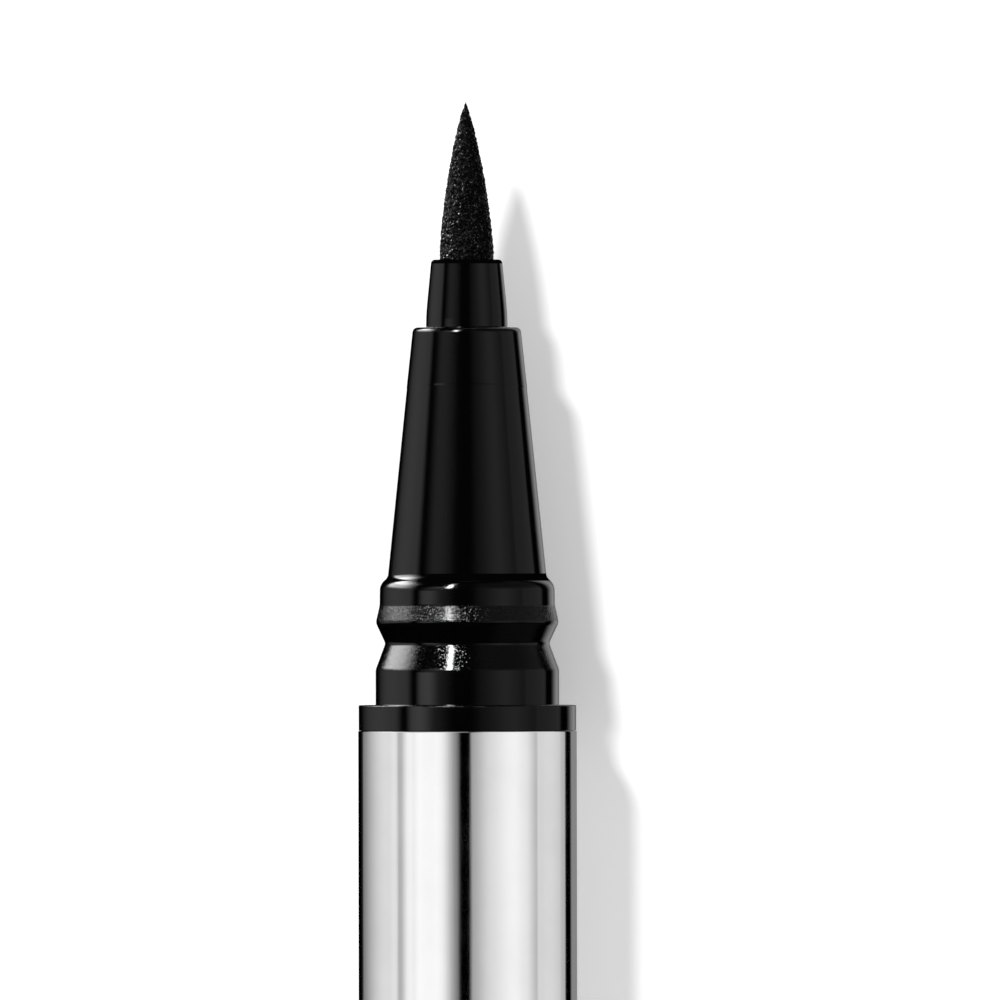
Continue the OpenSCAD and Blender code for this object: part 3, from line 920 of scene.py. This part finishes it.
def make_floor():
    """A plain white floor for the pen's shadow. Reflections see the studio's panels instead."""
    bm = bmesh.new()
    bmesh.ops.create_grid(
        bm, x_segments=FLOOR_CELLS, y_segments=FLOOR_CELLS, size=FLOOR_HALF * MM
    )
    for v in bm.verts:
        v.co.z = FLOOR_Z * MM
    material, g = new_material("floor_white")
    place, _ = g.place_mm()
    paper = g.noise(place, scale=0.02, detail=2.0)
    g.surface({
        "Base Color": g.grey(g.varied(paper, *PAPER_WHITE)),
        "Roughness": 1.0,
        "Specular IOR Level": 0.0,
        "Emission Color": (1, 1, 1, 1),
        "Emission Strength": g.math("MULTIPLY", seen_directly(g), FLOOR_LIFT),
    })
    floor = new_piece("floor", bm, [material])
    floor.visible_glossy = False


def seen_by_gloss_only(piece):
    """Lets only reflections see a studio panel, so that it neither shows nor shades the floor."""
    piece.visible_camera = False
    piece.visible_diffuse = False
    piece.visible_transmission = False
    piece.visible_volume_scatter = False
    piece.visible_shadow = False


def make_tent(name, radius, material):
    """A wide closed drum round the pen that carries the studio's panels."""
    rear, front = CENTRE[1] - radius * TENT_STRETCH, CENTRE[1] + radius * TENT_STRETCH
    outline = [(0, rear), (radius, rear), (radius, front), (0, front)]
    bm = turned_mesh(outline, TENT_TURNS, close=False)
    tent = new_piece(name, bm, [material])
    material.cycles.emission_sampling = "NONE"
    seen_by_gloss_only(tent)
    return tent


def make_panels(name, radius, panels, receivers=None):
    """A tent of glowing panels. With receivers it lights them only, and rays pass through it.

    A panel's place is given by two angles in degrees: the one round the pen, which is 0 above it
    and positive to the right, and the tilt towards its point. A panel is a strength, where it
    rises and falls round the pen, and where it rises and falls in tilt.
    """
    material, g = new_material(name)
    _, parts = g.place_mm()
    round_pen = g.math("DEGREES", g.math("ARCTAN2", parts["X"], parts["Z"]))
    ahead = g.math("SUBTRACT", parts["Y"], CENTRE[1])
    squares = [g.math("MULTIPLY", parts[axis], parts[axis]) for axis in "XZ"]
    off = g.math("SQRT", g.math("ADD", *squares))
    tilt = g.math("DEGREES", g.math("ARCTAN2", ahead, off))
    total = 0.0
    for strength, rise, fall, tilt_rise, tilt_fall in panels:
        across = g.math("MULTIPLY", g.window(round_pen, rise, fall), strength)
        along = g.window(tilt, tilt_rise, tilt_fall)
        total = g.math("MULTIPLY_ADD", across, along, total)
    surface = g.add("ShaderNodeEmission", {"Color": (1, 1, 1, 1), "Strength": total})
    if receivers:
        through = g.add("ShaderNodeBsdfTransparent")
        surface = g.add("ShaderNodeAddShader", {0: surface.outputs[0], 1: through.outputs[0]})
    g.add("ShaderNodeOutputMaterial", {"Surface": surface.outputs[0]})
    tent = make_tent(name, radius, material)
    if receivers:
        group = bpy.data.collections.new(name)
        for piece in receivers:
            group.objects.link(piece)
        tent.light_linking.receiver_collection = group


# Windows in degrees, each with where it rises and where it falls

LEVEL = ((-11, -5), (12, 20))
STRIP_TILT = ((9, 22), (36, 50))
KEY_TILT = ((16, 28), (34, 64))
ANY_TILT = ((-80, -70), (70, 80))
AHEAD = ((14, 25), (76, 84))
BEHIND = ((-84, -76), (-17, -9))
ALL_ROUND = ((-200, -190), (190, 200))
FRONT_POLE = ((76, 84), (95, 100))
REAR_POLE = ((-100, -95), (-84, -76))


# Panels, each with its strength, its window round the pen and its window in tilt

STUDIO_PANELS = [
    (0.62, (-155, -95), (-84, -72), (-11, -5), (24, 34)),
    (0.33, (-70, -50), (-46, -12), (-11, -5), (20, 30)),
    (0.75, (-70, -60), (-52, -34), (-11, -5), (0, 3.5)),
    (0.14, (2, 22), (113, 120), (-11, -5), (24, 32)),
    (0.26, (16, 50), (50, 76), *LEVEL),
    (0.05, (58, 68), (113, 120), *LEVEL),
    (0.09, (77, 80), (113, 120), *LEVEL),
    (0.08, (0, 30), (114, 126), (24, 32), (55, 70)),
    (0.05, (30, 60), (104, 122), (-70, -50), (-20, -11)),
]
BLACK_PANELS = [
    (6.2, (-144, -132), (-104, -76), *STRIP_TILT),
    (7.0, (-144, -131), (-115, -92), (26, 34), (40, 54)),
    (1.1, (-62, -30), (-30, -8), (15, 22), (28, 37)),
    (68.0, (-30.5, -26.5), (-24, -20), *KEY_TILT),
    (0.75, (130, 146), (152, 164), *ANY_TILT),
    (0.28, (150, 160), (190, 200), *ANY_TILT),
]
END_BANDS = [
    (0.85, (-150, -135), (-42, -10)),
    (0.45, (-40, -10), (-1, 4)),
    (0.80, (12, 30), (118, 135)),
    (0.55, (150, 165), (190, 200)),
    (0.55, (-200, -190), (-172, -160)),
]
CHROME_PANELS = [
    (0.15, (-147.5, -143.5), (-80.5, -78.2), *LEVEL),
    (0.07, (-92, -84), (-80.5, -78.2), *LEVEL),
    (0.92, (-83, -65.5), (-70, -58.5), *LEVEL),
    (0.66, (-51.5, -33), (-29, -7.5), *LEVEL),
    (0.18, (-50, -30), (-11.5, -6.5), *LEVEL),
    (0.40, (1.5, 5.5), (63, 95), *LEVEL),
    (0.18, (5, 26), (63, 95), *LEVEL),
    (0.19, (78.5, 80.5), (124.8, 127.8), *LEVEL),
    (0.17, (78, 94), (124.8, 127.8), *LEVEL),
    (0.10, (78, 94), (98, 118), *LEVEL),
    (0.14, (113, 120), (122, 128), *LEVEL),
    (0.25, (138, 145), (190, 200), *LEVEL),
    *[(*band, *tilt) for tilt in (AHEAD, BEHIND) for band in END_BANDS],
    (0.55, *ALL_ROUND, *FRONT_POLE),
    (0.55, *ALL_ROUND, *REAR_POLE),
]


def make_lights():
    """One soft sun from the upper left, and an even white world."""
    sun = bpy.data.objects.new("key_sun", bpy.data.lights.new("key_sun", "SUN"))
    sun.data.energy = KEY_STRENGTH
    sun.data.angle = KEY_ANGLE
    sun.rotation_mode = "QUATERNION"
    sun.rotation_quaternion = KEY_FROM.to_track_quat("Z", "Y")
    sun.visible_glossy = False
    bpy.context.scene.collection.objects.link(sun)
    world = bpy.data.worlds.new("white_world")
    bpy.context.scene.world = world
    g = Graph(world)
    glow = g.add("ShaderNodeBackground", {
        "Color": (1, 1, 1, 1),
        "Strength": g.ramp(seen_directly(g), 0.0, 1.0, AMBIENT, 1.0, "LINEAR"),
    })
    g.add("ShaderNodeOutputWorld", {"Surface": glow.outputs[0]})


def make_camera():
    """A long lens straight above the pen's front, as in the photograph."""
    camera = bpy.data.objects.new("camera", bpy.data.cameras.new("camera"))
    camera.data.lens = LENS
    camera.data.sensor_width = SENSOR
    height = LENS * FRAME_WIDTH / SENSOR
    camera.location = (CENTRE[0] * MM, CENTRE[1] * MM, height * MM)
    camera.rotation_euler = (0, 0, ROLL)
    camera.data.clip_start, camera.data.clip_end = (limit * MM for limit in CLIP)
    bpy.context.scene.collection.objects.link(camera)
    bpy.context.scene.camera = camera


make_camera()
dress_cad_nodes()
tail = make_tail_cap()
sleeve = make_sleeve()
section = make_front_section()
holder = make_tip_holder()
nib = make_nib()
fuzz = make_nib_fuzz()
shell = make_cap_shell()
make_floor()
make_panels("studio_tent", STUDIO_TENT_R, STUDIO_PANELS)
make_panels("black_tent", BLACK_TENT_R, BLACK_PANELS, [tail, section, holder, nib, fuzz])
make_panels("chrome_tent", CHROME_TENT_R, CHROME_PANELS, [sleeve, shell])
make_lights()
bpy.context.scene.view_settings.view_transform = "Standard"
